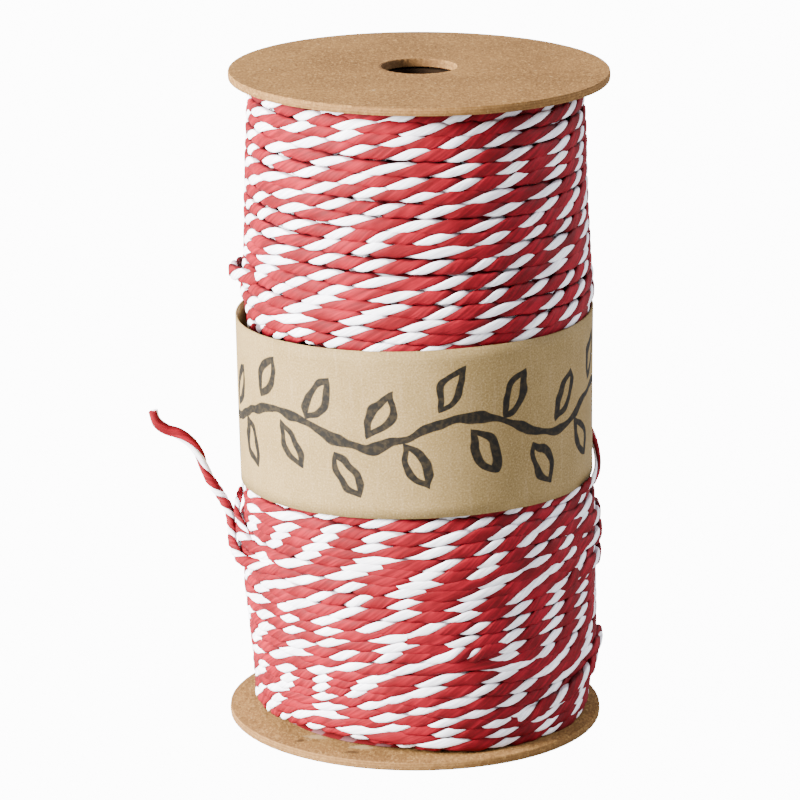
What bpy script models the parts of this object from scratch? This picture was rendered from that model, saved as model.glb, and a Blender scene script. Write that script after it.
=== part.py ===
# Spool of two-ply paper string: card flanges and core tube, wound string, paper label band,
# one loose end and one loose turn of the string. Metres, +Z up along the spool, front at -Y.
# Angles round the spool run from the front towards +X, so the left side is at -90 degrees.

import math
import random

import bmesh
import bpy
import numpy as np

MM = 0.001

# Driving dimensions
HEIGHT = 97.0 * MM
FLANGE_RADIUS = 27.5 * MM
FLANGE_THICKNESS = 1.2 * MM
FLANGE_SHIFT = 0.26 * MM
RIM_EASE = 0.2 * MM
HOLE_RADIUS = 5.4 * MM
TOP_HOLE_BACK = 1.6 * MM
TUBE_INNER_RADIUS = 6.0 * MM
TUBE_WALL = 1.2 * MM
TUBE_BACK = 0.75 * MM
GAP = 0.3 * MM

# String and its winding
END_DIAMETER = 1.8 * MM
LOOSE_TURN_DIAMETER = 1.3 * MM
TURN_RISE = 2.0 * MM
TURN_RELIEF = 0.75 * MM
TURN_TILT = -0.5 * MM
TILT_FADE = 14.0 * MM
TURN_UNEVEN = 0.16 * MM

# Label band
BAND_BOTTOM = 37.3 * MM
BAND_TOP = 61.9 * MM
BAND_BOTTOM_RADIUS = 25.2 * MM
BAND_TOP_RADIUS = 25.9 * MM
BAND_THICKNESS = 1.0 * MM
BAND_TILT = 0.4 * MM

ROUND_SEGMENTS = 80
TUBE_SEGMENTS = 48
WINDING_SEGMENTS = 40

# Wound form from the bottom up: height, radius and shift towards +X, all in mm.
# The string is narrower under the label band, which stands in that waist.
WOUND_FORM = (
    (1.5, 24.7, 0.6),
    (5.0, 24.9, 0.9),
    (12.0, 25.6, 1.0),
    (20.0, 26.0, 0.5),
    (28.0, 25.9, 0.4),
    (35.2, 25.9, 0.3),
    (36.5, 23.8, 0.1),
    (62.8, 24.5, 0.0),
    (64.0, 25.8, 0.0),
    (69.0, 25.2, 0.0),
    (78.0, 24.9, -0.2),
    (88.0, 24.6, -0.2),
    (95.5, 24.1, -0.3),
)

# Small bights of single turns that stand proud: angle, height and how far they stand out.
BIGHTS = (
    (-96.0, 67.5, 1.6),
    (92.0, 12.0, 0.8),
)
BIGHT_SPREAD_ANGLE = 9.0
BIGHT_SPREAD_HEIGHT = 1.0

# Route of the loose end: angle, radius and height, from the turns it comes out of to its tip.
LOOSE_END_ROUTE = (
    (-40.0, 27.1, 26.5),
    (-50.0, 27.1, 26.4),
    (-60.0, 27.1, 26.0),
    (-69.0, 27.1, 25.6),
    (-77.0, 27.1, 25.6),
    (-84.0, 27.2, 26.6),
    (-88.5, 27.3, 28.4),
    (-90.3, 27.6, 30.4),
    (-91.0, 28.5, 32.3),
    (-91.5, 29.9, 34.4),
    (-91.8, 31.1, 36.6),
    (-92.0, 32.0, 38.9),
    (-91.8, 33.2, 40.8),
    (-91.6, 34.9, 42.1),
    (-91.5, 36.8, 42.9),
    (-91.5, 38.2, 44.1),
    (-91.5, 38.7, 45.7),
)

# Route of the loose turn: it starts at the front under the band's lower edge, climbs over the
# band on the right, comes down below it at the back, and joins the turns on the left.
LOOSE_TURN_ROUTE = (
    (50.0, 26.3, 36.4),
    (58.0, 26.3, 36.8),
    (66.0, 26.4, 37.2),
    (74.0, 26.5, 37.6),
    (83.0, 26.5, 37.9),
    (91.0, 26.5, 38.8),
    (98.0, 26.4, 40.2),
    (106.0, 26.3, 41.5),
    (118.0, 26.2, 42.3),
    (135.0, 26.2, 42.6),
    (155.0, 26.2, 42.2),
    (173.0, 26.2, 41.2),
    (188.0, 26.3, 39.6),
    (200.0, 26.5, 37.8),
    (211.0, 26.6, 36.0),
    (222.0, 26.6, 34.5),
    (235.0, 26.6, 33.4),
    (248.0, 26.5, 32.9),
    (259.0, 26.4, 32.4),
    (267.0, 26.4, 31.9),
    (273.0, 26.5, 31.1),
    (278.0, 26.6, 30.2),
    (282.0, 26.7, 29.3),
    (286.0, 26.8, 28.5),
    (290.0, 26.8, 27.9),
)
END_POINT_SPACING = 1.8 * MM
TURN_POINT_SPACING = 3.2 * MM
ROUTE_SAMPLES = 40


def clear_scene():
    for old in list(bpy.data.objects):
        bpy.data.objects.remove(old, do_unlink=True)


def finish_material(name, colour, roughness):
    material = bpy.data.materials.new(name)
    material.use_nodes = True
    shader = material.node_tree.nodes["Principled BSDF"]
    shader.inputs["Base Color"].default_value = (*colour, 1.0)
    shader.inputs["Roughness"].default_value = roughness
    shader.inputs["Metallic"].default_value = 0.0
    return material


def around(angle_degrees, radius, height):
    """A point at an angle round the spool, measured from the front towards +X."""
    angle = math.radians(angle_degrees)
    return (radius * math.sin(angle), -radius * math.cos(angle), height)


def ring_solid(name, rows, material, sharp_degrees=35.0):
    """A closed ring whose cross-section corners are the given rows of points, in order."""
    mesh = bmesh.new()
    corners = [[mesh.verts.new(point) for point in row] for row in rows]
    count = len(rows[0])
    for index, row in enumerate(corners):
        following = corners[(index + 1) % len(corners)]
        for step in range(count):
            after = (step + 1) % count
            mesh.faces.new((row[step], row[after], following[after], following[step]))
    bmesh.ops.recalc_face_normals(mesh, faces=mesh.faces)
    data = bpy.data.meshes.new(name)
    mesh.to_mesh(data)
    mesh.free()
    data.materials.append(material)
    data.shade_smooth()
    data.set_sharp_from_angle(angle=math.radians(sharp_degrees))
    piece = bpy.data.objects.new(name, data)
    bpy.context.scene.collection.objects.link(piece)
    return piece


def circle_row(radius, height, centre_x=0.0, centre_y=0.0, segments=ROUND_SEGMENTS):
    row = []
    for step in range(segments):
        x, y, z = around(360.0 * step / segments, radius, height)
        row.append((x + centre_x, y + centre_y, z))
    return row


def make_flange(name, base, shift, hole_back, material):
    """A card disc with eased edges and a centre hole, its underside at the given height."""
    top = base + FLANGE_THICKNESS
    inset = FLANGE_RADIUS - RIM_EASE
    rows = [
        circle_row(HOLE_RADIUS, base, shift, hole_back),
        circle_row(inset, base, shift),
        circle_row(FLANGE_RADIUS, base + RIM_EASE, shift),
        circle_row(FLANGE_RADIUS, top - RIM_EASE, shift),
        circle_row(inset, top, shift),
        circle_row(HOLE_RADIUS, top, shift, hole_back),
    ]
    return ring_solid(name, rows, material)


def make_core_tube(material):
    low = FLANGE_THICKNESS + GAP
    high = HEIGHT - FLANGE_THICKNESS - GAP
    outer = TUBE_INNER_RADIUS + TUBE_WALL
    rows = [
        circle_row(TUBE_INNER_RADIUS, low, 0.0, TUBE_BACK, TUBE_SEGMENTS),
        circle_row(outer, low, 0.0, TUBE_BACK, TUBE_SEGMENTS),
        circle_row(outer, high, 0.0, TUBE_BACK, TUBE_SEGMENTS),
        circle_row(TUBE_INNER_RADIUS, high, 0.0, TUBE_BACK, TUBE_SEGMENTS),
    ]
    return ring_solid("core_tube", rows, material)


def ease(value):
    value = min(1.0, max(0.0, value))
    return value * value * (3.0 - 2.0 * value)


def turn_tilt(middle):
    """Turns lean a little down to the right, and lie flat against the flanges."""
    low = FLANGE_THICKNESS + GAP
    high = HEIGHT - FLANGE_THICKNESS - GAP
    return TURN_TILT * ease(min(middle - low, high - middle) / TILT_FADE)


def bight_height(angle_degrees, height):
    proud = 0.0
    for bight_angle, bight_z, out in BIGHTS:
        turn = (angle_degrees - bight_angle + 180.0) % 360.0 - 180.0
        away = (turn / BIGHT_SPREAD_ANGLE) ** 2
        away += ((height / MM - bight_z) / BIGHT_SPREAD_HEIGHT) ** 2
        proud += out * MM * math.exp(-0.5 * away)
    return proud


def make_winding(material):
    """The wound string: a crest and a hollow for each turn, on the uneven wound form."""
    heights, radii, shifts = np.array(WOUND_FORM).T * MM
    low = FLANGE_THICKNESS + GAP
    high = HEIGHT - FLANGE_THICKNESS - GAP
    turns = round((high - low) / TURN_RISE)
    chance = random.Random(7)
    rows = []
    for index in range(2 * turns + 1):
        middle = low + (high - low) * index / (2 * turns)
        tilt = turn_tilt(middle)
        crest = index % 2 == 1
        relief = 0.0 if crest else TURN_RELIEF
        swell = chance.uniform(-TURN_UNEVEN, TURN_UNEVEN) if crest else 0.0
        phase = chance.uniform(0.0, 360.0)
        row = []
        for step in range(WINDING_SEGMENTS):
            angle = 360.0 * step / WINDING_SEGMENTS
            height = middle + tilt * math.sin(math.radians(angle))
            wave = math.sin(math.radians(2.0 * angle + phase))
            radius = float(np.interp(height, heights, radii)) - relief + swell * wave
            if crest:
                radius += bight_height(angle, height)
            x, y, z = around(angle, radius, height)
            row.append((x + float(np.interp(height, heights, shifts)), y, z))
        rows.append(row)
    inner = TUBE_INNER_RADIUS + TUBE_WALL + GAP
    rows.append(circle_row(inner, high, 0.0, TUBE_BACK, WINDING_SEGMENTS))
    rows.append(circle_row(inner, low, 0.0, TUBE_BACK, WINDING_SEGMENTS))
    return ring_solid("winding", rows, material, sharp_degrees=80.0)


def make_label_band(material):
    """A paper sleeve, a little tighter at its lower edge and tilted up to the right."""
    levels = (0.0, 0.35, 0.7, 1.0)

    def row(level, inset):
        radius = BAND_BOTTOM_RADIUS + (BAND_TOP_RADIUS - BAND_BOTTOM_RADIUS) * level - inset
        points = []
        for step in range(ROUND_SEGMENTS):
            angle = 360.0 * step / ROUND_SEGMENTS
            height = BAND_BOTTOM + (BAND_TOP - BAND_BOTTOM) * level
            height += BAND_TILT * math.sin(math.radians(angle))
            points.append(around(angle, radius, height))
        return points

    rows = [row(level, 0.0) for level in levels]
    rows += [row(level, BAND_THICKNESS) for level in reversed(levels)]
    return ring_solid("label_band", rows, material)


def smooth_route(route, spacing):
    """Evenly spaced points on a smooth curve through the route's own points."""
    corners = [np.array(around(angle, radius * MM, height * MM)) for angle, radius, height in route]
    ends = [2 * corners[0] - corners[1]] + corners + [2 * corners[-1] - corners[-2]]
    fine = []
    for index in range(len(corners) - 1):
        before, start, end, after = ends[index:index + 4]
        for sample in range(ROUTE_SAMPLES):
            t = sample / ROUTE_SAMPLES
            bend = (2 * before - 5 * start + 4 * end - after) * t * t
            twist = (3 * start - before - 3 * end + after) * t ** 3
            fine.append(0.5 * (2 * start + (end - before) * t + bend + twist))
    fine.append(corners[-1])
    fine = np.array(fine)
    steps = np.linalg.norm(np.diff(fine, axis=0), axis=1)
    travelled = np.concatenate(([0.0], np.cumsum(steps)))
    count = max(2, round(travelled[-1] / spacing) + 1)
    places = np.linspace(0.0, travelled[-1], count)
    return [tuple(np.interp(places, travelled, fine[:, axis])[i] for axis in range(3))
            for i in range(count)]


def make_cord(name, route, diameter, spacing, material):
    points = smooth_route(route, spacing)
    curve = bpy.data.curves.new(name, "CURVE")
    curve.dimensions = "3D"
    curve.bevel_depth = diameter / 2
    curve.bevel_resolution = 2
    curve.use_fill_caps = True
    spline = curve.splines.new("POLY")
    spline.points.add(len(points) - 1)
    for point, place in zip(spline.points, points):
        point.co = (*place, 1.0)
    spline.use_smooth = True
    curve.materials.append(material)
    cord = bpy.data.objects.new(name, curve)
    bpy.context.scene.collection.objects.link(cord)
    return cord


def main():
    clear_scene()
    card = finish_material("kraft_card", (0.50, 0.34, 0.19), 0.85)
    inner_card = finish_material("core_card", (0.33, 0.22, 0.13), 0.9)
    kraft_paper = finish_material("kraft_paper", (0.62, 0.50, 0.34), 0.8)
    string = finish_material("paper_string", (0.72, 0.16, 0.16), 0.7)
    make_flange("flange_bottom", 0.0, -FLANGE_SHIFT, 0.0, card)
    make_flange("flange_top", HEIGHT - FLANGE_THICKNESS, FLANGE_SHIFT, TOP_HOLE_BACK, card)
    make_core_tube(inner_card)
    make_winding(string)
    make_label_band(kraft_paper)
    make_cord("loose_end", LOOSE_END_ROUTE, END_DIAMETER, END_POINT_SPACING, string)
    make_cord("loose_turn", LOOSE_TURN_ROUTE, LOOSE_TURN_DIAMETER, TURN_POINT_SPACING, string)


main()
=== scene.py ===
# Looks of a spool of paper string: twisted two-ply string, kraft card, a paper band, loose string.
# Metres, +Z up, front at -Y. Angles round the spool run from the front towards +X, in radians.

import math
import random

import bmesh
import bpy
import numpy as np
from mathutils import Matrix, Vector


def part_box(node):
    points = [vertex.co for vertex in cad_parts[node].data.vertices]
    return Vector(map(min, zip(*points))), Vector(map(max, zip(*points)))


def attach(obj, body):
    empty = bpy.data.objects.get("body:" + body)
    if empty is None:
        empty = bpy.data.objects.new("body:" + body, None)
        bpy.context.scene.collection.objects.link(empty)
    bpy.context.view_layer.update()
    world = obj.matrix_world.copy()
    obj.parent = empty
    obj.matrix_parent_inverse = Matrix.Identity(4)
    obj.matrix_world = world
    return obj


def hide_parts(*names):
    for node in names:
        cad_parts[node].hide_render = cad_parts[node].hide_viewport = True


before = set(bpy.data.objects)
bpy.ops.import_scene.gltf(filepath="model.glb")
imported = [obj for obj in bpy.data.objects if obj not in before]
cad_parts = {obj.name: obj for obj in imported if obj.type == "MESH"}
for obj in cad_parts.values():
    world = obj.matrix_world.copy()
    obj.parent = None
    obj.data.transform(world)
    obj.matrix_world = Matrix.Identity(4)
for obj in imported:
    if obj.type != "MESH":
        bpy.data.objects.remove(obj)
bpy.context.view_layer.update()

MM = 0.001
TURN = 2.0 * math.pi

# Camera, set by the two flanges' outlines
CAMERA_DISTANCE = 686.3 * MM
CAMERA_RISE = math.radians(15.58)
CAMERA_SIDE = -2.5 * MM
AIM_HEIGHT = 47.6 * MM
SENSOR = 36.0
LENS = 211.1

# Spool
FLANGE_RADIUS = 27.5 * MM
FLANGE_THICKNESS = 1.2 * MM
HOLE_RADIUS = 5.4 * MM
TUBE_BACK = 0.75 * MM
TOP_HOLE_BACK = 1.6 * MM
TUBE_INNER_RADIUS = 6.0 * MM
TUBE_WALL = 1.2 * MM

# String. Each ply is an oval tube: its distance from the string's middle, half its depth and half
# its breadth, as shares of the string's width. The red ply is a little broader towards +X, and
# RED_LEAN says by how much of the unevenness for each metre.
STRING_WIDTH = 2.25 * MM
STRING_HALF_DEPTH = 0.82 * MM
RED_PLY = {"offset": 0.14, "deep": 0.34, "broad": 0.485}
WHITE_PLY = {"offset": 0.22, "deep": 0.25, "broad": 0.31}
RED_LEAN = 6.0
WOUND_UNEVEN = 0.34
LOOSE_UNEVEN = 0.2
PLY_CORNERS = 10
INNER_PLY_CORNERS = 6

# The twist: its lead, and how far it slips over short and long stretches, in radians
TWIST_LEAD = 8.3 * MM
SHORT_SLACK = 0.9
LONG_SLACK = 7.0

# The ply papers' tones in a picture's 0 to 255 values: painted shade in the grooves, dark (also
# painted shade in creases and where the plies meet), usual, and light (also painted highlight on
# creases)
RED_TONES = ((40, 1, 4), (72, 1, 6), (108, 3, 15), (138, 15, 33))
WHITE_TONES = ((124, 92, 100), (196, 190, 200), (245, 243, 247), (250, 250, 252))

# How the turns lie. The room between neighbours is a share of their rise, and the string has its
# own thickness at the usual rise. In each round of settling, turns that are too near or too far
# are pushed by a share of what is wrong, and pulled back to the wound form by another.
MEAN_RADIUS = 25.0 * MM
USUAL_RISE = 1.72 * MM
LEAST_ROOM = 0.84
MOST_ROOM = 1.2
SETTLE_ROUNDS = 30
PUSH_SHARE = 0.3
PULL_SHARE = 0.25
LEAST_GAP = 0.01 * MM
SMOOTHING = (0.08, 0.24, 0.36, 0.24, 0.08)
TURN_WANDER = 0.8 * MM
DEPTH_WANDER = 0.30 * MM
THICKNESS_WANDER = 0.25
THICKNESS_LIMITS = (0.6, 1.4)
DIVE_SHARE = 0.6
DEEPEST_DIVE = 1.4 * MM

# The ridged body under the turns
BODY_DEPTH = 3.4 * MM
BODY_RIDGE = 2.2 * MM
RIDGE_HEIGHT = 0.35 * MM
ROUND_STEPS = 96

# Runs of turns: name, lowest and highest height and rise of each turn in mm, and a seed. Each run
# has a layer that is seen and one below it, with a seed of its own: how far a turn tilts to one
# side, how deep the layer lies and its points for each turn.
RUNS = (
    ("lower", -0.6, 39.2, 1.66, 11),
    ("upper", 60.0, 97.6, 2.0, 23),
)
OUTER_TURNS = {"tilt": -0.5 * MM, "depth": 0.0, "per_turn": 240}
INNER_TURNS = {"tilt": 1.2 * MM, "depth": 1.25 * MM, "per_turn": 130}
INNER_SEED_STEP = 40

# Outer surface of the winding: height, radius and shift towards +X, all in mm
WOUND_FORM = (
    (1.2, 24.9, 0.6),
    (5.0, 25.1, 0.9),
    (12.0, 25.8, 1.0),
    (20.0, 26.2, 0.5),
    (28.0, 26.1, 0.4),
    (34.0, 26.0, 0.3),
    (37.0, 24.9, 0.1),
    (40.0, 24.6, 0.1),
    (60.0, 25.0, 0.0),
    (62.5, 25.3, 0.0),
    (65.0, 26.0, 0.0),
    (70.0, 25.4, 0.0),
    (78.0, 25.1, -0.2),
    (88.0, 24.8, -0.2),
    (95.8, 24.3, -0.3),
)

# The lowest turns stand clear of the flange over a stretch left of the front: middle and reach
# in radians, how far they rise and up to what height the lift is felt.
CLEAR_MIDDLE = math.radians(-38.0)
CLEAR_REACH = math.radians(38.0)
CLEAR_RISE = 2.0 * MM
CLEAR_FADE = 13.0 * MM

# Label band: its top is shifted towards +X, it tilts up at the right, droops at both sides, laps
# from the seam on, and bulges and ripples a little
BAND_BOTTOM = 37.3 * MM
BAND_TOP = 61.9 * MM
BAND_BOTTOM_RADIUS = 25.8 * MM
BAND_TOP_RADIUS = 26.05 * MM
BAND_TOP_SHIFT = -0.45 * MM
BAND_THICKNESS = 0.3 * MM
BAND_TILT = 0.62 * MM
BAND_DROOP = 0.38 * MM
BAND_LAP = math.radians(20.0)
BAND_LAP_GAP = 0.06 * MM
BAND_SEAM = math.radians(165.0)
BAND_BULGE = 0.07 * MM
BAND_RIPPLE = 0.05 * MM
BAND_COLUMNS = 260
BAND_ROWS = 14

# Inked sprig on the band, in mm: a wavy stem with a leaf at each pitch, which leans by 60 degrees
SPRIG_WAVE = 30.0
SPRIG_MIDDLE = 12.4
SPRIG_SWING = 2.0
LEAF_PITCH = 10.0
LEAF_RISE = 4.6
LEAF_HALF_LENGTH = 3.7
LEAF_HALF_WIDTH = 1.75
LEAF_LEAN = (0.5, 0.866)

# Studio: how bright the surroundings are for the eye and for the object, and the share of that
# glow that the floor shows. Lights: name, angle and rise in degrees, distance and size in metres,
# power and tint
BACKDROP_GLOW = 14.0
DIM_GLOW = 0.85
FLOOR_GLOW_SHARE = 0.9
LIGHTS = (
    ("key", -65.0, 20.0, 0.9, 0.35, 92.0, (1.0, 1.0, 1.0)),
    ("fill", 100.0, 28.0, 0.9, 0.5, 8.5, (0.92, 0.97, 1.1)),
)

# Short stretches of string that lie over the other turns: from angle and height, to angle and
# height, and how far they stand out in the middle. Angles in degrees, the rest in mm.
STRAYS = (
    (-118.0, 66.0, -62.0, 68.6, 1.9),
    (-126.0, 29.6, -50.0, 27.6, 1.2),
    (-118.0, 26.6, -62.0, 25.2, 0.9),
    (22.0, 4.6, 104.0, 12.6, 1.1),
    (46.0, 32.0, 134.0, 29.6, 0.8),
    (54.0, 28.8, 128.0, 27.2, 1.0),
    (48.0, 25.2, 122.0, 24.6, 0.8),
)
STRAY_STEP = 0.6 * MM
STRAY_SEED = 100

# How deep their ends lie under the turns, in mm, and how fast they rise out of them
STRAY_SINK = 1.3
STRAY_BOW = 0.7

# Others of the same kind round the back, drawn at random between these heights in mm
HIDDEN_STRAYS = 8
HIDDEN_SPANS = ((6.0, 32.0), (66.0, 90.0))
HIDDEN_SEED = 31

# A small curl of thin string at the right: angle in degrees, radius and height in mm, and its
# thickness as a share of the usual
CURL_ROUTE = (
    (57.0, 24.9, 12.3),
    (66.0, 25.9, 11.9),
    (75.0, 26.5, 11.6),
    (82.0, 26.6, 11.2),
    (87.0, 26.7, 10.8),
    (89.5, 26.95, 11.2),
    (89.8, 26.95, 11.8),
    (88.5, 26.6, 12.2),
    (87.0, 26.2, 12.0),
    (86.0, 25.4, 11.7),
)
CURL_THICKNESS = 0.26
CURL_SEED = 60

# Rim of a card disc from its lower face up: how far in from the edge and how high, in mm
DISC_STEPS = 288
RIM_PROFILE = ((0.12, 0.02), (0.03, 0.12), (0.0, 0.5), (0.0, 0.7), (0.03, 1.08), (0.12, 1.18))

# Marks on the card: middle, half width and half length in mm, and pale glue or dark marks
CARD_MARKS = (
    (-14.7, -16.4, 1.2, 1.9, 1.6, "pale"),
    (-7.9, -20.6, 1.2, 2.2, 1.4, "pale"),
    (-9.6, -22.8, 1.2, 1.7, 0.8, "dark"),
    (-16.9, -17.9, 1.2, 1.0, 0.8, "dark"),
    (-6.3, -15.2, 97.0, 0.35, 0.6, "pale"),
    (-12.0, -27.4, 96.9, 0.35, 0.7, "dark"),
)

# Routes of the loose string, as in the solids: angle in degrees, radius and height in mm
LOOSE_END_ROUTE = (
    (-40.0, 27.1, 26.5),
    (-50.0, 27.1, 26.4),
    (-60.0, 27.1, 26.0),
    (-69.0, 27.1, 25.6),
    (-77.0, 27.1, 25.6),
    (-84.0, 27.2, 26.6),
    (-88.5, 27.3, 28.4),
    (-90.3, 27.6, 30.4),
    (-91.0, 28.5, 32.3),
    (-91.5, 29.9, 34.4),
    (-91.8, 31.1, 36.6),
    (-92.0, 32.0, 38.9),
    (-91.8, 33.2, 40.8),
    (-91.6, 34.9, 42.1),
    (-91.5, 36.8, 42.9),
    (-91.5, 38.2, 44.1),
    (-91.5, 38.7, 45.7),
)
LOOSE_TURN_ROUTE = (
    (50.0, 26.3, 36.4),
    (58.0, 26.3, 36.8),
    (66.0, 26.4, 37.2),
    (74.0, 26.5, 37.6),
    (83.0, 26.5, 37.9),
    (91.0, 26.5, 38.8),
    (98.0, 26.4, 40.2),
    (106.0, 26.3, 41.5),
    (118.0, 26.2, 42.3),
    (135.0, 26.2, 42.6),
    (155.0, 26.2, 42.2),
    (173.0, 26.2, 41.2),
    (188.0, 26.3, 39.6),
    (200.0, 26.5, 37.8),
    (211.0, 26.6, 36.0),
    (222.0, 26.6, 34.5),
    (235.0, 26.6, 33.4),
    (248.0, 26.5, 32.9),
    (259.0, 26.4, 32.4),
    (267.0, 26.4, 31.9),
    (273.0, 26.5, 31.1),
    (278.0, 26.6, 30.2),
    (282.0, 26.7, 29.3),
    (286.0, 26.8, 28.5),
    (290.0, 26.8, 27.9),
)
LOOSE_END_DIAMETER = 1.8 * MM
LOOSE_TURN_DIAMETER = 1.3 * MM

# How the loose string is twisted: share of its length, the twist's lead in mm, and its thickness
# as a share of the usual
LOOSE_END_TWIST = (
    (0.00, 8.0, 1.25),
    (0.40, 7.5, 1.2),
    (0.50, 3.4, 1.15),
    (0.63, 3.2, 1.15),
    (0.73, 7.0, 1.1),
    (0.80, 12.0, 1.0),
    (1.00, 24.0, 0.85),
)
LOOSE_TURN_TWIST = (
    (0.00, 6.0, 1.3),
    (0.10, 6.0, 1.4),
    (0.14, 40.0, 1.55),
    (0.27, 40.0, 1.55),
    (0.32, 6.0, 1.3),
    (1.00, 6.0, 1.3),
)

# The loose string's twist at its far end in radians, half its depth as a share of its diameter,
# and how uneven its thickness is
LOOSE_END_PHASE = 3.6
LOOSE_TURN_PHASE = 3.3
LOOSE_HALF_DEPTH = 0.6
LOOSE_WANDER = 0.08

# How deep each end of the loose string is tucked between the turns, and over what length
LOOSE_END_TUCKS = ((2.6 * MM, 22.0 * MM), (0.0, 1.0 * MM))
LOOSE_TURN_TUCKS = ((1.6 * MM, 9.0 * MM), (1.6 * MM, 9.0 * MM))
CORD_STEP = 0.25 * MM
ROUTE_SAMPLES = 40


class Wire:
    """A node's output, on which arithmetic adds Math nodes."""

    def __init__(self, board, socket):
        self.board = board
        self.socket = socket

    def maths(self, operation, *values):
        inputs = dict(enumerate(values))
        return self.board.node("ShaderNodeMath", {"operation": operation}, inputs)

    def __add__(self, other):
        return self.maths("ADD", self, other)

    def __radd__(self, other):
        return self.maths("ADD", other, self)

    def __sub__(self, other):
        return self.maths("SUBTRACT", self, other)

    def __rsub__(self, other):
        return self.maths("SUBTRACT", other, self)

    def __mul__(self, other):
        return self.maths("MULTIPLY", self, other)

    def __rmul__(self, other):
        return self.maths("MULTIPLY", other, self)

    def __truediv__(self, other):
        return self.maths("DIVIDE", self, other)

    def __pow__(self, other):
        return self.maths("POWER", self, other)

    def __abs__(self):
        return self.maths("ABSOLUTE", self)

    def __mod__(self, other):
        return self.maths("FLOORED_MODULO", self, other)

    def __gt__(self, other):
        return self.maths("GREATER_THAN", self, other)

    def sin(self):
        return self.maths("SINE", self)

    def cos(self):
        return self.maths("COSINE", self)

    def most(self, other):
        return self.maths("MAXIMUM", self, other)


class Board:
    """A node tree, shader or geometry, to which node() adds every node."""

    def __init__(self, tree):
        self.tree = tree

    def node(self, kind, settings=None, inputs=None, out=0):
        """Adds a node of a type, with its settings and the values or links of its inputs."""
        made = self.tree.nodes.new(kind)
        for name, value in (settings or {}).items():
            setattr(made, name, value)
        for key, value in (inputs or {}).items():
            for part in value if isinstance(value, list) else [value]:
                if isinstance(part, Wire):
                    self.tree.links.new(part.socket, made.inputs[key])
                else:
                    made.inputs[key].default_value = part
        return Wire(self, made.outputs[out]) if made.outputs else made

    def mix(self, factor, first, second):
        """The first colour where the factor is 0, the second where it is 1."""
        inputs = {0: factor, 6: first, 7: second}
        return self.node("ShaderNodeMix", {"data_type": "RGBA"}, inputs, out=2)

    def soft_step(self, value, low, high):
        """0 below low and 1 above high, smooth between, or the other way if low is above high."""
        start, end = (0.0, 1.0) if low < high else (1.0, 0.0)
        settings = {"interpolation_type": "SMOOTHSTEP"}
        inputs = {
            "Value": value,
            "From Min": min(low, high),
            "From Max": max(low, high),
            "To Min": start,
            "To Max": end,
        }
        return self.node("ShaderNodeMapRange", settings, inputs)

    def cover(self, tone, over, value, low, high, share):
        """A tone with a share of another laid over it where a value has passed from low to high."""
        return self.mix(self.soft_step(value, low, high) * share, tone, over)

    def vector(self, operation, *values, out=0):
        inputs = dict(enumerate(values))
        return self.node("ShaderNodeVectorMath", {"operation": operation}, inputs, out)

    def scaled(self, vector, factor):
        settings = {"operation": "SCALE"}
        return self.node("ShaderNodeVectorMath", settings, {0: vector, "Scale": factor})

    def combine(self, x, y, z):
        return self.node("ShaderNodeCombineXYZ", inputs={"X": x, "Y": y, "Z": z})

    def parts(self, vector):
        made = self.node("ShaderNodeSeparateXYZ", inputs={"Vector": vector})
        outputs = made.socket.node.outputs
        return [Wire(self, outputs[index]) for index in range(3)]

    def noise(self, vector, scale, detail=2.0, roughness=0.5, distortion=0.0):
        inputs = {
            "Vector": vector,
            "Scale": scale,
            "Detail": detail,
            "Roughness": roughness,
            "Distortion": distortion,
        }
        return self.node("ShaderNodeTexNoise", inputs=inputs)


def colour(red, green, blue):
    """A colour given in the 0 to 255 values of a picture, as linear light."""
    values = []
    for value in (red, green, blue):
        share = value / 255.0
        values.append(share / 12.92 if share <= 0.04045 else ((share + 0.055) / 1.055) ** 2.4)
    return (*values, 1.0)


def new_material(name):
    """A material with a Principled shader; returns it, its board and the shader node."""
    material = bpy.data.materials.new(name)
    material.use_nodes = True
    board = Board(material.node_tree)
    return material, board, material.node_tree.nodes["Principled BSDF"]


def dress(board, shader, base, roughness, height, strength, distance, shine):
    """Joins a colour, a roughness and a bump height to the shader, and sets how it shines."""
    links = board.tree.links
    links.new(base.socket, shader.inputs["Base Color"])
    if isinstance(roughness, Wire):
        links.new(roughness.socket, shader.inputs["Roughness"])
    else:
        shader.inputs["Roughness"].default_value = roughness
    inputs = {"Height": height, "Strength": strength, "Distance": distance}
    bump = board.node("ShaderNodeBump", inputs=inputs)
    links.new(bump.socket, shader.inputs["Normal"])
    shader.inputs["Specular IOR Level"].default_value = shine


def ply_material(name, groove_shade, dark, usual, light):
    """Matt twisted paper: lengthwise creases along the ply, uneven colour, painted shade in the
    creases, grooves and where the plies meet, and painted highlight on the creases.
    """
    material, board, shader = new_material(name)
    place = board.node("ShaderNodeTexCoord", out="UV")
    along, across, _ = board.parts(place)
    creases = board.noise(board.combine(along * 1.6, across * 9.0, 0.0), 1.0, 3.0, 0.6, 0.4)
    wrinkles = board.noise(board.combine(along * 9.0 + across * 5.0, across * 5.0, 3.0), 1.0, 2.0)
    blotches = board.noise(board.node("ShaderNodeTexCoord", out="Object"), 190.0, 2.0)
    edge = abs(across * 2.0 - 1.0)
    tone = board.mix(board.soft_step(blotches, 0.3, 0.7), dark, light)
    tone = board.mix(0.5, tone, usual)
    # Painted shade in the creases and painted highlight on their ridges, besides their bump.
    tone = board.cover(tone, dark, creases, 0.60, 0.36, 0.7)
    tone = board.cover(tone, light, creases, 0.54, 0.72, 0.6)
    # Painted shade on each ply's inner side, where the two plies meet.
    tone = board.cover(tone, dark, edge, 0.50, 0.82, 0.7)
    # Painted shade in the grooves: the groove tone laid where the ply lies deep, read from the outer
    # attribute.
    outer = board.node("ShaderNodeAttribute", {"attribute_name": "outer"}, out="Fac")
    tone = board.cover(tone, groove_shade, outer + creases * 0.2, 0.62, 0.38, 0.7)
    height = creases * 0.75 + wrinkles * 0.35
    dress(board, shader, tone, 0.62 + creases * 0.16, height, 0.55, 0.16 * MM, 0.12)
    return material


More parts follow.
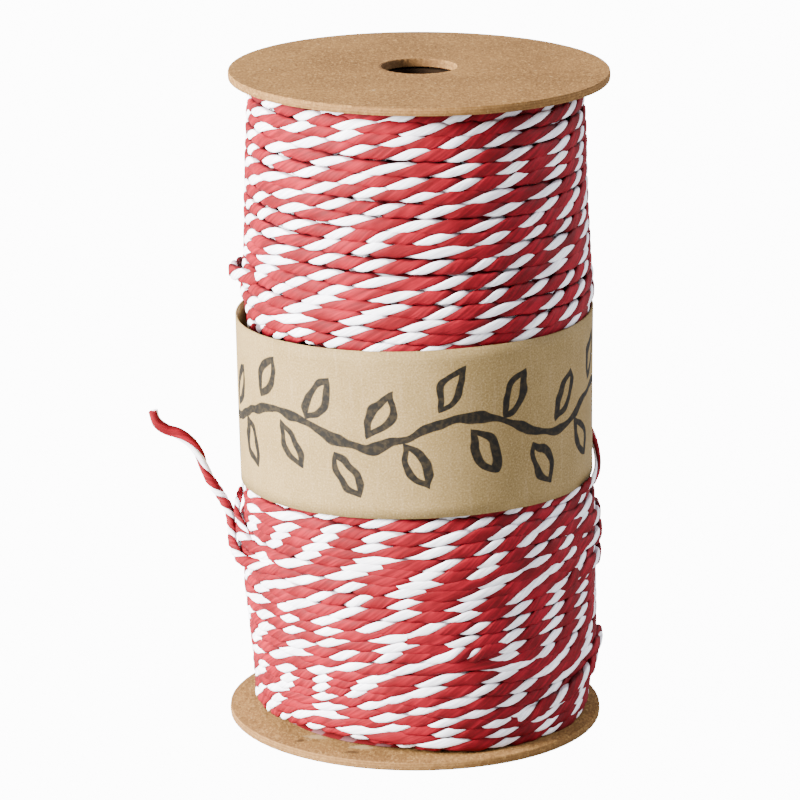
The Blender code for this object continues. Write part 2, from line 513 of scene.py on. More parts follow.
def under_material():
    """The turns underneath, seen only in the gaps: red with pale stretches, both painted dark as
    shade.
    """
    material, board, shader = new_material("string_underneath")
    place = board.node("ShaderNodeTexCoord", out="Object")
    x, y, z = board.parts(place)
    bearing = board.node("ShaderNodeMath", {"operation": "ARCTAN2"}, {0: x, 1: y})
    stripes = (bearing * 24.0 + z * 1400.0).sin()
    patches = board.noise(place, 400.0)
    pale = board.soft_step(stripes + patches * 1.2, 0.75, 1.1)
    # Painted shade: red and white paper coloured far darker than the outer turns' papers.
    tone = board.mix(pale, colour(72, 5, 9), colour(84, 52, 54))
    dress(board, shader, tone, 0.8, patches, 0.3, 0.2 * MM, 0.05)
    return material


def card_material():
    """Brown board: a cloudy tone, short fibres and flecks, a layered rim, a few marks and painted
    shade round the holes.
    """
    material, board, shader = new_material("kraft_card")
    place = board.node("ShaderNodeTexCoord", out="Object")
    x, y, z = board.parts(place)
    cloud = board.noise(place, 90.0, 4.0, 0.55)
    stretched = board.vector("MULTIPLY", place, (2100.0, 900.0, 2100.0))
    fibres = board.noise(stretched, 1.0, 4.0, 0.7, 0.8)
    grain = board.noise(board.vector("MULTIPLY", place, (3000.0, 1500.0, 3000.0)), 1.0, 2.0, 0.6)
    tone = board.mix(board.soft_step(cloud, 0.3, 0.7), colour(96, 67, 35), colour(112, 80, 43))
    tone = board.cover(tone, colour(142, 108, 62), fibres, 0.52, 0.68, 0.75)
    tone = board.cover(tone, colour(66, 43, 20), fibres, 0.46, 0.30, 0.70)
    tone = board.cover(tone, colour(140, 106, 63), grain, 0.52, 0.68, 0.5)
    tone = board.cover(tone, colour(66, 43, 20), grain, 0.46, 0.32, 0.4)
    flecks = board.noise(place, 1500.0, 1.0)
    tone = board.cover(tone, colour(162, 135, 92), flecks, 0.70, 0.76, 0.4)
    tone = board.cover(tone, colour(56, 37, 18), flecks, 0.28, 0.23, 0.5)
    reach = (x * x + y * y) ** 0.5
    rim = board.soft_step(reach, FLANGE_RADIUS - 0.35 * MM, FLANGE_RADIUS - 0.1 * MM)
    layers = (z * (TURN / (0.4 * MM)) + cloud * 6.0).sin() * 0.5 + 0.5
    rim_tone = board.mix(layers, colour(88, 61, 33), colour(118, 87, 52))
    tone = board.mix(rim * 0.4, tone, rim_tone)
    ragged = (board.noise(place, 900.0, 3.0, 0.7) - 0.5) * 2.6
    shades = {"pale": colour(140, 118, 84), "dark": colour(38, 22, 10)}
    for mark_x, mark_y, mark_z, wide, long, shade in CARD_MARKS:
        middle = (mark_x * MM, mark_y * MM, mark_z * MM)
        apart = board.vector("SUBTRACT", place, middle)
        apart = board.vector("DIVIDE", apart, (wide * MM, long * MM, 1.0 * MM))
        away = board.vector("LENGTH", apart, out="Value") + ragged
        tone = board.cover(tone, shades[shade], away, 1.0, 0.4, 0.65)
    # Painted shade on the holes' walls and lips, darkest at each hole; the upper disc's hole sits
    # further back.
    back = (z > 0.05) * TOP_HOLE_BACK
    from_hole = (x * x + (y - back) * (y - back)) ** 0.5
    cut = (HOLE_RADIUS + 0.32 * MM, HOLE_RADIUS + 0.08 * MM)
    tone = board.cover(tone, colour(62, 40, 20), from_hole, *cut, 0.7)
    height = fibres * 0.6 + grain * 0.4
    dress(board, shader, tone, 0.78 + grain * 0.12, height, 0.35, 0.12 * MM, 0.1)
    return material


def core_material():
    """The tube's brown board, wound from a strip, painted near black as the shade inside it."""
    material, board, shader = new_material("core_card")
    place = board.node("ShaderNodeTexCoord", out="Object")
    x, y, z = board.parts(place)
    bearing = board.node("ShaderNodeMath", {"operation": "ARCTAN2"}, {0: x, 1: y})
    seam = abs((z / (22.0 * MM) + bearing / TURN) % 1.0 - 0.5)
    fibres = board.noise(place, 1800.0, 3.0)
    # Painted shade: the board coloured near black, as the inside of the tube lies in shade; the seam
    # darker still.
    tone = board.mix(fibres, colour(22, 15, 9), colour(38, 26, 16))
    tone = board.mix(board.soft_step(seam, 0.02, 0.0), tone, colour(14, 10, 7))
    dress(board, shader, tone, 0.95, fibres, 0.3, 0.1 * MM, 0.02)
    return material


def ink_mask(board, across, up):
    """A hand-inked sprig in the band's middle: a wavy stem with leaf outlines on both sides."""
    sway = board.noise(board.combine(across * 0.22, up * 0.22, 0.0), 1.0, 1.0) - 0.5
    bend = board.noise(board.combine(across * 0.22, up * 0.22, 8.0), 1.0, 1.0) - 0.5
    x = across + sway * 2.6
    y = up + bend * 2.0
    near, far = LEAF_LEAN
    stem = abs(y - SPRIG_MIDDLE - (x * (TURN / SPRIG_WAVE)).sin() * SPRIG_SWING)
    ink = board.soft_step(stem - (x * 0.9).sin() * 0.12, 0.78, 0.60)
    for side, start in ((1.0, 0.0), (-1.0, LEAF_PITCH / 2)):
        local = ((x + start) / LEAF_PITCH % 1.0 - 0.5) * LEAF_PITCH
        stem_there = ((x - local) * (TURN / SPRIG_WAVE)).sin() * SPRIG_SWING
        rise = (y - SPRIG_MIDDLE - stem_there) * side - LEAF_RISE
        along = local * near + rise * far
        beside = rise * near - local * far
        bow = along / LEAF_HALF_LENGTH
        leaf = abs(beside) / LEAF_HALF_WIDTH + bow * bow
        ink = ink.most(board.soft_step(abs(leaf - 0.8), 0.40, 0.29))
    return ink


def paper_material():
    """Kraft wrapping paper: faint upright ribs, fibres, speckles and the inked sprig."""
    material, board, shader = new_material("kraft_paper")
    place = board.node("ShaderNodeTexCoord", out="UV")
    across, up, _ = board.parts(place)
    ribs = board.noise(board.combine(across * 1.1, up * 0.09, 0.0), 1.0, 3.0, 0.65)
    fibres = board.noise(board.combine(across * 3.2, up * 1.5, 2.0), 1.0, 4.0, 0.6, 0.5)
    cloud = board.noise(board.combine(across * 0.16, up * 0.16, 7.0), 1.0, 3.0)
    tone = board.mix(board.soft_step(cloud, 0.3, 0.7), colour(116, 96, 58), colour(125, 104, 65))
    tone = board.cover(tone, colour(140, 118, 83), ribs, 0.52, 0.70, 0.35)
    tone = board.cover(tone, colour(147, 127, 92), fibres, 0.60, 0.74, 0.5)
    tone = board.cover(tone, colour(92, 70, 42), fibres, 0.40, 0.27, 0.45)
    speckle = board.noise(board.combine(across * 3.6, up * 3.6, 4.0), 1.0, 2.0, 0.7)
    tone = board.cover(tone, colour(158, 135, 98), speckle, 0.50, 0.70, 0.42)
    tone = board.cover(tone, colour(82, 62, 36), speckle, 0.50, 0.30, 0.42)
    ink = ink_mask(board, across, up)
    worn = board.noise(board.combine(across * 1.3, up * 1.3, 9.0), 1.0, 3.0)
    ink = ink * (0.93 + board.soft_step(worn, 0.62, 0.42) * 0.06)
    tone = board.mix(ink, tone, colour(16, 14, 11))
    height = ribs * 0.4 + speckle * 0.6
    dress(board, shader, tone, 0.66 + fibres * 0.14, height, 0.3, 0.12 * MM, 0.12)
    return material


def around(angle, radius, height):
    """Points at angles round the spool, from the front towards +X."""
    level = height + 0.0 * angle
    return np.stack([radius * np.sin(angle), -radius * np.cos(angle), level], axis=-1)


def wander(distance, seed, shortest, longest, terms=8):
    """A smooth uneven wave along a distance, mostly within 1 of zero, fixed by its seed."""
    chance = random.Random(seed)
    total = 0.0 * distance
    for _ in range(terms):
        length = chance.uniform(shortest, longest)
        total = total + np.sin(TURN * distance / length + chance.uniform(0.0, TURN))
    return total / math.sqrt(terms)


def wound_surface(height):
    """Outer radius of the winding and its shift towards +X, at heights."""
    heights, radii, shifts = np.array(WOUND_FORM).T * MM
    return np.interp(height, heights, radii), np.interp(height, heights, shifts)


def lengths_along(points):
    """How far a line of points has run, at each of them."""
    steps = np.linalg.norm(np.diff(points, axis=0), axis=1)
    return np.concatenate(([0.0], np.cumsum(steps)))


def twist_along(points, seed):
    """The string's twist at each point, in radians, a little uneven along its length."""
    travelled = lengths_along(points)
    chance = random.Random(seed)
    slack = SHORT_SLACK * wander(travelled, seed, 20.0 * MM, 60.0 * MM)
    slack = slack + LONG_SLACK * wander(travelled, seed + 9, 170.0 * MM, 700.0 * MM)
    return chance.uniform(0.0, TURN) - TURN * travelled / TWIST_LEAD + slack


def string_line(points, seed, thickness=1.0):
    """A line of string: its points, and its twist and thickness at each."""
    uneven = wander(lengths_along(points), seed + 5, 9.0 * MM, 45.0 * MM)
    uneven = np.clip(1.0 + THICKNESS_WANDER * uneven, *THICKNESS_LIMITS)
    return points, twist_along(points, seed), thickness * uneven


def smoothed(values):
    """Values along a run with each averaged with its neighbours, ends kept in line."""
    padded = np.pad(values, 2, mode="reflect", reflect_type="odd")
    return np.convolve(padded, SMOOTHING, mode="valid")


def settled(height, radius, per_turn, depth, least, most):
    """Moves turns that crowd each other apart, so that one rides up, and closes wide gaps."""
    for _ in range(SETTLE_ROUNDS):
        for apart, widest in ((per_turn, most), (2 * per_turn, math.inf)):
            rise = height[apart:] - height[:-apart]
            out = radius[apart:] - radius[:-apart]
            gap = np.hypot(rise, out) + LEAST_GAP
            wrong = np.maximum(0.0, least - gap) - np.maximum(0.0, gap - widest)
            push = PUSH_SHARE * wrong / gap
            height[apart:] += rise * push
            height[:-apart] -= rise * push
            radius[apart:] += out * push
            radius[:-apart] -= out * push
        surface, _ = wound_surface(height)
        rest = surface - STRING_HALF_DEPTH - depth
        radius = smoothed(radius + PULL_SHARE * (rest - radius))
        height = smoothed(height)
    return height, radius


def clear_rise(angle, height):
    """How far the lowest turns are lifted off the flange."""
    turned = np.remainder(angle - CLEAR_MIDDLE + math.pi, TURN) - math.pi
    share = np.clip(1.0 - (height - FLANGE_THICKNESS) / CLEAR_FADE, 0.0, 1.0)
    return CLEAR_RISE * share * np.exp(-((turned / CLEAR_REACH) ** 2))


def turns_line(lowest, highest, rise, seed, tilt, depth, per_turn):
    """One run of the string: turns that wind down, wander a little and dive at the flanges."""
    count = round((highest - lowest) / rise * per_turn)
    angle = TURN * np.arange(count) / per_turn
    travelled = angle * MEAN_RADIUS
    height = highest - rise * angle / TURN + tilt * np.sin(angle)
    height = height + TURN_WANDER * wander(travelled, seed, 20.0 * MM, 90.0 * MM)
    surface, _ = wound_surface(height)
    radius = surface - STRING_HALF_DEPTH - depth
    radius = radius + DEPTH_WANDER * wander(travelled, seed + 1, 12.0 * MM, 60.0 * MM)
    height, radius = settled(height, radius, per_turn, depth, LEAST_ROOM * rise, MOST_ROOM * rise)
    floor = FLANGE_THICKNESS + STRING_WIDTH / 2
    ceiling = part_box("flange_top")[0].z - STRING_WIDTH / 2
    past = np.maximum(0.0, height - ceiling) + np.maximum(0.0, floor - height)
    radius = radius - np.minimum(past * DIVE_SHARE, DEEPEST_DIVE)
    height = np.clip(height, floor, ceiling)
    height = height + clear_rise(angle, height)
    points = around(angle, radius, height)
    points[:, 0] += wound_surface(height)[1]
    return string_line(points, seed + 2, (rise / USUAL_RISE) ** 0.5)


def halves(line):
    """A run cut in two at its middle, the halves meeting at one point."""
    middle = len(line[0]) // 2
    return [values[:middle + 1] for values in line], [values[middle:] for values in line]


def stray_line(stray, seed):
    """A stretch that comes out of the turns, lies over them and dives back in."""
    start, low, end, high, lift = stray
    reach = math.radians(end - start) * MEAN_RADIUS
    share = np.linspace(0.0, 1.0, max(12, round(reach / STRAY_STEP)))
    angle = np.radians(start + (end - start) * share)
    height = (low + (high - low) * share) * MM
    radius, shift = wound_surface(height)
    bow = np.sin(math.pi * share) ** STRAY_BOW
    radius = radius - STRING_HALF_DEPTH + ((lift + STRAY_SINK) * bow - STRAY_SINK) * MM
    points = around(angle, radius, height)
    points[:, 0] += shift
    return string_line(points, seed)


def all_strays():
    """The strays in front, others of the same kind round the back, and the small curl."""
    strays = list(STRAYS)
    chance = random.Random(HIDDEN_SEED)
    for index in range(HIDDEN_STRAYS):
        low, high = HIDDEN_SPANS[index % 2]
        start = chance.uniform(100.0, 215.0)
        height = chance.uniform(low, high)
        end = start + chance.uniform(40.0, 80.0)
        drop = chance.uniform(1.0, 6.0)
        strays.append((start, height, end, height - drop, chance.uniform(0.4, 0.8)))
    lines = [stray_line(stray, STRAY_SEED + index) for index, stray in enumerate(strays)]
    curl = smooth_route(CURL_ROUTE, CORD_STEP)
    return lines + [string_line(curl, CURL_SEED, CURL_THICKNESS)]


def smooth_route(route, spacing):
    """Evenly spaced points on a smooth curve through the route's own points."""
    table = np.array(route)
    corners = list(around(np.radians(table[:, 0]), table[:, 1] * MM, table[:, 2] * MM))
    ends = [2 * corners[0] - corners[1]] + corners + [2 * corners[-1] - corners[-2]]
    fine = []
    for index in range(len(corners) - 1):
        before, start, end, after = ends[index:index + 4]
        for sample in range(ROUTE_SAMPLES):
            t = sample / ROUTE_SAMPLES
            bend = (2 * before - 5 * start + 4 * end - after) * t * t
            twist = (3 * start - before - 3 * end + after) * t ** 3
            fine.append(0.5 * (2 * start + (end - before) * t + bend + twist))
    fine.append(corners[-1])
    fine = np.array(fine)
    travelled = lengths_along(fine)
    places = np.linspace(0.0, travelled[-1], max(2, round(travelled[-1] / spacing) + 1))
    return np.stack([np.interp(places, travelled, fine[:, axis]) for axis in range(3)], axis=1)


def ply_profile(board, width, ply, side, points):
    """Cross-section of one ply: an oval beside the string's middle, its seam turned inwards."""
    settings = {"mode": "RADIUS"}
    loop = board.node("GeometryNodeCurvePrimitiveCircle", settings, {"Resolution": points})
    index = board.node("GeometryNodeInputIndex")
    place = index / float(points)
    angle = (place + 0.5) * TURN
    reach = (angle.cos() * ply["deep"] + ply["offset"]) * side
    spot = board.combine(reach * width, angle.sin() * width * ply["broad"] * side, 0.0)
    shaped = board.node("GeometryNodeSetPosition", inputs={"Geometry": loop, "Position": spot})
    inputs = {"Geometry": shaped, "Name": "across", "Value": place}
    return board.node("GeometryNodeStoreNamedAttribute", {"data_type": "FLOAT"}, inputs)


def string_tree(points):
    """Geometry nodes that lay two twisted plies along a curve, flattened against the spool."""
    tree = bpy.data.node_groups.new("two_ply_string", "GeometryNodeTree")
    sockets = tree.interface
    sockets.new_socket("Curve", in_out="INPUT", socket_type="NodeSocketGeometry")
    for name in ("Width", "Half depth", "Uneven", "Wound"):
        sockets.new_socket(name, in_out="INPUT", socket_type="NodeSocketFloat")
    for name in ("Red paper", "White paper"):
        sockets.new_socket(name, in_out="INPUT", socket_type="NodeSocketMaterial")
    sockets.new_socket("String", in_out="OUTPUT", socket_type="NodeSocketGeometry")
    board = Board(tree)

    def given(name):
        return board.node("NodeGroupInput", out=name)

    def kept(geometry, name, value, kind, domain="POINT"):
        settings = {"data_type": kind, "domain": domain}
        inputs = {"Geometry": geometry, "Name": name, "Value": value}
        return board.node("GeometryNodeStoreNamedAttribute", settings, inputs)

    def recalled(name, kind):
        settings = {"data_type": kind}
        return board.node("GeometryNodeInputNamedAttribute", settings, {"Name": name})

    position = board.node("GeometryNodeInputPosition")
    level = board.vector("MULTIPLY", position, (1.0, 1.0, 0.0))
    line = kept(given("Curve"), "centre", position, "FLOAT_VECTOR")
    line = kept(line, "outward", board.vector("NORMALIZE", level), "FLOAT_VECTOR")
    line = kept(line, "along", board.node("GeometryNodeSplineParameter", out="Length"), "FLOAT")

    plies = []
    for ply, side, paper in ((RED_PLY, 1.0, "Red paper"), (WHITE_PLY, -1.0, "White paper")):
        profile = ply_profile(board, given("Width"), ply, side, points)
        inputs = {"Curve": line, "Profile Curve": profile, "Fill Caps": True}
        tube = board.node("GeometryNodeCurveToMesh", inputs=inputs)
        tube = kept(tube, "side", side, "FLOAT")
        inputs = {"Geometry": tube, "Material": given(paper)}
        plies.append(board.node("GeometryNodeSetMaterial", inputs=inputs))
    both = board.node("GeometryNodeJoinGeometry", inputs={"Geometry": plies})

    centre = recalled("centre", "FLOAT_VECTOR")
    outward = recalled("outward", "FLOAT_VECTOR")
    arm = board.vector("SUBTRACT", position, centre)
    travelled = board.combine(recalled("along", "FLOAT"), 0.0, 0.0)
    lean = board.parts(position)[0] * RED_LEAN * given("Wound")
    balance = ((board.noise(travelled, 160.0, 2.0) - 0.5) * 1.8 + lean) * recalled("side", "FLOAT")
    lumps = board.noise(position, 450.0, 2.0) - 0.5
    arm = board.scaled(arm, 1.0 + (balance + lumps) * given("Uneven"))
    depth = board.vector("DOT_PRODUCT", arm, outward, out="Value")
    limit = given("Half depth")
    held = depth / (1.0 + (depth / limit) ** 2.0) ** 0.5
    arm = board.vector("ADD", arm, board.scaled(outward, held - depth))
    moved = board.vector("ADD", centre, arm)
    # How far out the ply's surface lies, 1 at the outside; the papers paint shade in the grooves from
    # it.
    outer = 1.0 - (1.0 - held / limit) * given("Wound")
    both = kept(both, "outer", outer, "FLOAT")
    both = board.node("GeometryNodeSetPosition", inputs={"Geometry": both, "Position": moved})
    map_place = board.combine(recalled("along", "FLOAT") * 100.0, recalled("across", "FLOAT"), 0.0)
    both = kept(both, "UVMap", map_place, "FLOAT2", "CORNER")
    both = board.node("GeometryNodeSetShadeSmooth", inputs={"Geometry": both, "Shade Smooth": True})
    both = board.node("GeometryNodeRealizeInstances", inputs={"Geometry": both})
    board.node("NodeGroupOutput", inputs={"String": both})
    return tree


def laid_string(name, lines, tree, sizes, papers):
    """A mesh of two-ply string along lines, each its points and its twist and thickness there."""
    data = bpy.data.curves.new(name + "_line", "CURVE")
    data.dimensions = "3D"
    for points, twist, thickness in lines:
        spline = data.splines.new("POLY")
        spline.points.add(len(points) - 1)
        flat = np.concatenate([points, np.ones((len(points), 1))], axis=1)
        spline.points.foreach_set("co", flat.astype(np.float32).ravel())
        spline.points.foreach_set("tilt", np.asarray(twist, np.float32))
        spline.points.foreach_set("radius", np.asarray(thickness, np.float32))
    guide = bpy.data.objects.new(name + "_line", data)
    bpy.context.scene.collection.objects.link(guide)
    layer = guide.modifiers.new("string", "NODES")
    layer.node_group = tree
    values = {**sizes, "Red paper": papers[0], "White paper": papers[1]}
    for item in tree.interface.items_tree:
        if item.in_out == "INPUT" and item.name in values:
            layer[item.identifier] = values[item.name]
    bpy.context.view_layer.update()
    graph = bpy.context.evaluated_depsgraph_get()
    mesh = bpy.data.meshes.new_from_object(guide.evaluated_get(graph))
    bpy.data.objects.remove(guide, do_unlink=True)
    for spare in ("centre", "outward", "along", "across", "side"):
        if spare in mesh.attributes:
            mesh.attributes.remove(mesh.attributes[spare])
    face_outwards(mesh)
    return linked(name, mesh)


def linked(name, mesh):
    """The mesh as an object in the scene."""
    mesh.name = name
    piece = bpy.data.objects.new(name, mesh)
    bpy.context.scene.collection.objects.link(piece)
    return piece


def face_outwards(mesh):
    """Turns a closed mesh right side out, by the sign of its volume."""
    mesh.calc_loop_triangles()
    corners = np.array([mesh.vertices[i].co for t in mesh.loop_triangles for i in t.vertices])
    a, b, c = corners.reshape(-1, 3, 3).transpose(1, 0, 2)
    if (a * np.cross(b, c)).sum() < 0.0:
        mesh.flip_normals()


def ring_piece(name, rows, material, sharp):
    """A closed ring whose cross-section corners are the rows of points, sharp past an angle."""
    mesh = bmesh.new()
    corners = [[mesh.verts.new(point) for point in row] for row in rows]
    count = len(rows[0])
    for index, row in enumerate(corners):
        later = corners[(index + 1) % len(corners)]
        for step in range(count):
            after = (step + 1) % count
            mesh.faces.new((row[step], row[after], later[after], later[step]))
    bmesh.ops.recalc_face_normals(mesh, faces=mesh.faces)
    data = bpy.data.meshes.new(name)
    mesh.to_mesh(data)
    mesh.free()
    data.materials.append(material)
    data.shade_smooth()
    data.set_sharp_from_angle(angle=math.radians(sharp))
    return linked(name, data)


def card_disc(name, base, shift, hole_back, seed, material):
    """A punched board disc: flat faces, a soft uneven edge and a centre hole, torn a little above."""
    angle = np.arange(DISC_STEPS) * TURN / DISC_STEPS
    travelled = angle * FLANGE_RADIUS
    wave = sum(np.sin(k * angle + seed * k) / k for k in (2, 3, 5, 9, 17))
    edge = FLANGE_RADIUS - 0.05 * MM + 0.04 * MM * wave
    rough = 0.02 * MM * wander(travelled, seed, 1.0 * MM, 3.0 * MM)
    top = base + FLANGE_THICKNESS

    def row(radius, height, back=0.0):
        points = around(angle, radius, height)
        points[:, 0] += shift
        points[:, 1] += back
        return points

    torn = 0.07 * MM * (1.0 + wander(angle * HOLE_RADIUS, seed + 4, 0.7 * MM, 2.2 * MM))
    hole = HOLE_RADIUS
    rows = [row(hole + 0.08 * MM, base, hole_back), row(hole + 0.5 * MM, base, hole_back)]
    rows.append(row(edge - 0.5 * MM, base))
    for inset, rise in RIM_PROFILE:
        rows.append(row(edge - inset * MM + rough, base + rise * MM))
    rows.append(row(edge - 0.5 * MM, top))
    rows.append(row(hole + 0.5 * MM, top, hole_back))
    rows.append(row(hole + 0.04 * MM + torn, top, hole_back))
    rows.append(row(hole + torn * 0.5, top - 0.12 * MM, hole_back))
    rows.append(row(hole, top - 0.3 * MM, hole_back))
    rows.append(row(hole, base + 0.08 * MM, hole_back))
    return ring_piece(name, rows, material, sharp=40.0)


def core_piece(material):
    """The plain card tube between the discs."""
    low, high = (corner.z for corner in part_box("core_tube"))
    angle = np.arange(ROUND_STEPS) * TURN / ROUND_STEPS
    rows = []
    for radius, height in (
        (TUBE_INNER_RADIUS, low),
        (TUBE_INNER_RADIUS + TUBE_WALL, low),
        (TUBE_INNER_RADIUS + TUBE_WALL, high),
        (TUBE_INNER_RADIUS, high),
    ):
        points = around(angle, radius, height)
        points[:, 1] += TUBE_BACK
        rows.append(points)
    return ring_piece("core_board_tube", rows, material, sharp=35.0)


def under_piece(material):
    """The turns underneath, as one ridged body inside the outer turns."""
    low, high = (corner.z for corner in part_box("winding"))
    angle = np.arange(ROUND_STEPS) * TURN / ROUND_STEPS
    count = round((high - low) / (BODY_RIDGE / 4))
    rows = []
    for index in range(count + 1):
        height = low + (high - low) * index / count
        radius, shift = wound_surface(height)
        ridge = RIDGE_HEIGHT * math.cos(TURN * (height - low) / BODY_RIDGE)
        points = around(angle, radius - BODY_DEPTH + ridge, height)
        points[:, 0] += shift
        rows.append(points)
    inner = TUBE_INNER_RADIUS + TUBE_WALL + 0.3 * MM
    for height in (high, low):
        points = around(angle, inner, height)
        points[:, 1] += TUBE_BACK
        rows.append(points)
    return ring_piece("string_underneath", rows, material, sharp=80.0)


def band_piece(material):
    """The paper band: one strip wrapped round, its ends lapped at the back."""
    sweep = TURN + BAND_LAP
    mesh = bmesh.new()
    layer = mesh.loops.layers.uv.new("UVMap")
    grid = []
    places = []
    for column in range(BAND_COLUMNS + 1):
        turned = sweep * column / BAND_COLUMNS
        angle = BAND_SEAM - turned
        lap = min(1.0, max(0.0, (turned - TURN + 2.0 * BAND_LAP) / BAND_LAP))
        lap = lap * lap * (3.0 - 2.0 * lap) * (BAND_THICKNESS + BAND_LAP_GAP)
        line = []
        spots = []
        for step in range(BAND_ROWS + 1):
            level = step / BAND_ROWS
            radius = BAND_BOTTOM_RADIUS + (BAND_TOP_RADIUS - BAND_BOTTOM_RADIUS) * level
            radius += lap - BAND_THICKNESS / 2
            radius += BAND_BULGE * math.sin(3.0 * angle + 1.0) * math.sin(math.pi * level)
            radius += BAND_RIPPLE * math.sin(7.0 * angle + 2.0 * level)
            height = BAND_BOTTOM + (BAND_TOP - BAND_BOTTOM) * level
            height += BAND_TILT * math.sin(angle) - BAND_DROOP * math.sin(angle) ** 2
            height += BAND_RIPPLE * math.sin(5.0 * angle)
            point = around(angle, radius, height)
            point[0] += BAND_TOP_SHIFT * level
            line.append(mesh.verts.new(point))
            spots.append((angle * BAND_TOP_RADIUS / MM, level * (BAND_TOP - BAND_BOTTOM) / MM))
        grid.append(line)
        places.append(spots)
    for column in range(BAND_COLUMNS):
        after = column + 1
        for step in range(BAND_ROWS):
            corners = ((column, step), (column, step + 1), (after, step + 1), (after, step))
            face = mesh.faces.new([grid[a][b] for a, b in corners])
            for edge, (a, b) in zip(face.loops, corners):
                edge[layer].uv = places[a][b]
    data = bpy.data.meshes.new("paper_band")
    mesh.to_mesh(data)
    mesh.free()
    data.materials.append(material)
    band = linked("paper_band", data)
    wall = band.modifiers.new("thickness", "SOLIDIFY")
    wall.thickness = BAND_THICKNESS
    wall.offset = 0.0
    data.shade_smooth()
    return band


def add_camera():
    """A long lens at the photograph's viewing angle."""
    data = bpy.data.cameras.new("camera")
    data.sensor_width = SENSOR
    data.lens = LENS
    data.clip_start = 10.0 * MM
    data.clip_end = 20.0
    camera = bpy.data.objects.new("camera", data)
    back = CAMERA_DISTANCE * math.cos(CAMERA_RISE)
    up = AIM_HEIGHT + CAMERA_DISTANCE * math.sin(CAMERA_RISE)
    camera.location = (CAMERA_SIDE, -back, up)
    camera.rotation_euler = (math.pi / 2 - CAMERA_RISE, 0.0, 0.0)
    bpy.context.scene.collection.objects.link(camera)
    bpy.context.scene.camera = camera


def add_light(name, azimuth, rise, distance, size, power, tint):
    """A square soft light, aimed at the spool's middle from an angle round it and a rise."""
    azimuth = math.radians(azimuth)
    rise = math.radians(rise)
    data = bpy.data.lights.new(name, "AREA")
    data.size = size
    data.energy = power
    data.color = tint
    lamp = bpy.data.objects.new(name, data)
    flat = distance * math.cos(rise)
    lamp.location = (
        flat * math.sin(azimuth),
        -flat * math.cos(azimuth),
        AIM_HEIGHT + distance * math.sin(rise),
    )
    lamp.rotation_euler = (math.pi / 2 - rise, 0.0, azimuth)
    bpy.context.scene.collection.objects.link(lamp)


def add_studio():
    """A pale floor, bright surroundings for the eye, dim ones for the object, and soft lights."""
    floor_mesh = bmesh.new()
    bmesh.ops.create_grid(floor_mesh, x_segments=1, y_segments=1, size=4.0)
    data = bpy.data.meshes.new("floor")
    floor_mesh.to_mesh(data)
    floor_mesh.free()
    material, board, shader = new_material("floor")
    shader.inputs["Base Color"].default_value = (0.35, 0.35, 0.35, 1.0)
    shader.inputs["Roughness"].default_value = 0.9
    glow = board.node("ShaderNodeEmission", inputs={"Strength": BACKDROP_GLOW})
    seen = board.node("ShaderNodeLightPath", out="Is Camera Ray")
    lit = Wire(board, shader.outputs["BSDF"])
    both = board.node("ShaderNodeMixShader", inputs={"Fac": seen * FLOOR_GLOW_SHARE, 1: lit, 2: glow})
    surface = board.tree.nodes["Material Output"].inputs["Surface"]
    board.tree.links.new(both.socket, surface)
    data.materials.append(material)
    floor = linked("floor", data)
    world = bpy.data.worlds.new("studio")
    bpy.context.scene.world = world
    world.use_nodes = True
    sky = Board(world.node_tree)
    seen = sky.node("ShaderNodeLightPath", out="Is Camera Ray")
    backdrop = world.node_tree.nodes["Background"]
    backdrop.inputs["Color"].default_value = (1.0, 1.0, 1.0, 1.0)
    glow = DIM_GLOW + seen * (BACKDROP_GLOW - DIM_GLOW)
    sky.tree.links.new(glow.socket, backdrop.inputs["Strength"])
    for light in LIGHTS:
        add_light(*light)


def add_cord(name, node, route, diameter, twists, phase, tucks, tree, papers):
    """A loose length of the string along its route."""
    points = smooth_route(route, CORD_STEP)
    travelled = lengths_along(points)
    outward = points * (1.0, 1.0, 0.0)
    outward = outward / np.linalg.norm(outward, axis=1, keepdims=True)
    for (depth, reach), distance in zip(tucks, (travelled, travelled[-1] - travelled)):
        share = np.clip(1.0 - distance / reach, 0.0, 1.0)
        sunk = depth * share * share * (3.0 - 2.0 * share)
        points = points - outward * sunk[:, None]
    shares, leads, thicknesses = np.array(twists).T
    lead = np.interp(travelled / travelled[-1], shares, leads) * MM
    turned = np.cumsum(np.diff(travelled, prepend=0.0) / lead)
    twist = phase - TURN * (turned - turned[-1])
    thickness = np.interp(travelled / travelled[-1], shares, thicknesses)
    thickness = thickness + LOOSE_WANDER * wander(travelled, 3, 8.0 * MM, 30.0 * MM)
    sizes = {
        "Width": diameter,
        "Half depth": diameter * LOOSE_HALF_DEPTH,
        "Uneven": LOOSE_UNEVEN,
        "Wound": 0.0,
    }
    cord = laid_string(name, [(points, twist, thickness)], tree, sizes, papers)
    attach(cord, "root")
    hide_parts(node)


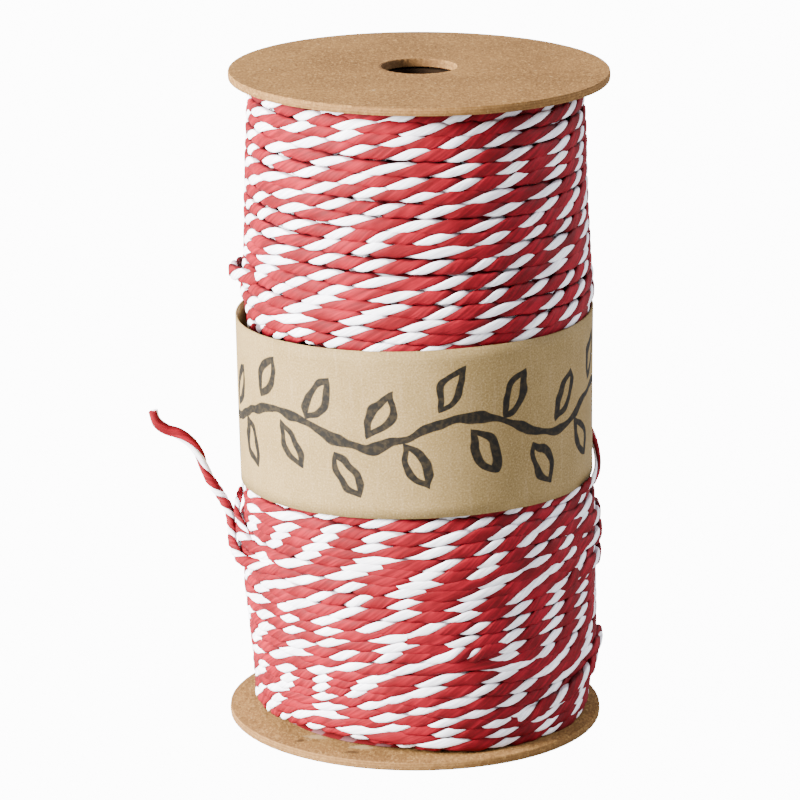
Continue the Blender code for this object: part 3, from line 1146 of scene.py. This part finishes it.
def add_winding(tree, papers):
    """The turns of both runs, those below them, the strays and the body under them all."""
    sizes = {
        "Width": STRING_WIDTH,
        "Half depth": STRING_HALF_DEPTH,
        "Uneven": WOUND_UNEVEN,
        "Wound": 1.0,
    }
    pieces = []
    hidden = []
    for name, lowest, highest, rise, seed in RUNS:
        run = (lowest * MM, highest * MM, rise * MM)
        outer = turns_line(*run, seed, **OUTER_TURNS)
        for part, line in zip(("first", "last"), halves(outer)):
            pieces.append(laid_string(f"string_{name}_{part}", [line], tree, sizes, papers))
        hidden.append(turns_line(*run, seed + INNER_SEED_STEP, **INNER_TURNS))
    coarse = string_tree(INNER_PLY_CORNERS)
    pieces.append(laid_string("string_inner_turns", hidden, coarse, sizes, papers))
    pieces.append(laid_string("string_strays", all_strays(), tree, sizes, papers))
    pieces.append(under_piece(under_material()))
    for piece in pieces:
        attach(piece, "root")
        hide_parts("winding")


def add_cards():
    """The two punched discs and the tube between them."""
    card = card_material()
    top_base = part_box("flange_top")[0].z
    discs = (
        ("lower_card_disc", 0.0, -0.26 * MM, 0.0, 3, "flange_bottom"),
        ("upper_card_disc", top_base, 0.26 * MM, TOP_HOLE_BACK, 8, "flange_top"),
    )
    for name, base, shift, hole_back, seed, node in discs:
        disc = card_disc(name, base, shift, hole_back, seed, card)
        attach(disc, "root")
        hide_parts(node)
    tube = core_piece(core_material())
    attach(tube, "root")
    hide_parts("core_tube")


def add_band():
    """The label band of kraft paper."""
    band = band_piece(paper_material())
    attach(band, "root")
    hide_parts("label_band")


def main():
    """Everything in turn: the camera, the loose string, the rest of the spool and the studio."""
    add_camera()
    red = ply_material("red_paper", *(colour(*tone) for tone in RED_TONES))
    white = ply_material("white_paper", *(colour(*tone) for tone in WHITE_TONES))
    papers = (red, white)
    tree = string_tree(PLY_CORNERS)
    add_cord(
        "loose_string_end", "loose_end", LOOSE_END_ROUTE, LOOSE_END_DIAMETER,
        LOOSE_END_TWIST, LOOSE_END_PHASE, LOOSE_END_TUCKS, tree, papers,
    )
    add_cord(
        "loose_string_turn", "loose_turn", LOOSE_TURN_ROUTE, LOOSE_TURN_DIAMETER,
        LOOSE_TURN_TWIST, LOOSE_TURN_PHASE, LOOSE_TURN_TUCKS, tree, papers,
    )
    add_winding(tree, papers)
    add_cards()
    add_band()

    add_studio()


main()
